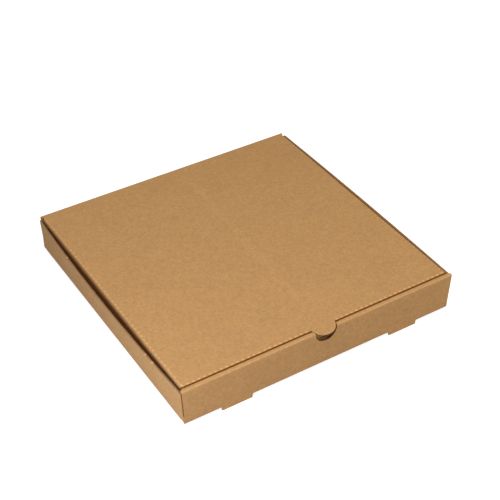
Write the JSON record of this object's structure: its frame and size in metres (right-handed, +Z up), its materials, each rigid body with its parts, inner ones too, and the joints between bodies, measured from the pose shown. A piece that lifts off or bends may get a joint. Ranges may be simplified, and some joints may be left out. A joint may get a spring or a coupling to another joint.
{
  "type": "pizza box",
  "caption": "Flat square corrugated card box with a hinged tuck-in lid, a roll-over front, feet and a thumb tab.",
  "frame": {"origin": "middle of the base's underside; the two front feet reach 3.8 mm below it", "axes": "+X right, +Y towards the rear crease that the lid turns on, +Z up"},
  "size_m": [0.3204, 0.3154, 0.0465],
  "materials": {
    "tray_board": "matte kraft liner, fine washboard",
    "lid_board": "matte kraft liner, fine washboard"
  },
  "bodies": {
    "tray": {"tray": "tray_board"},
    "lid": {"lid": "lid_board"}
  },
  "joints": [
    {"name": "lid_hinge", "type": "hinge", "parent": "tray", "child": "lid", "pos_m": [0, 0.15425, 0.04195], "axis": [-1, 0, 0], "range_deg": [0, 180]}
  ]
}
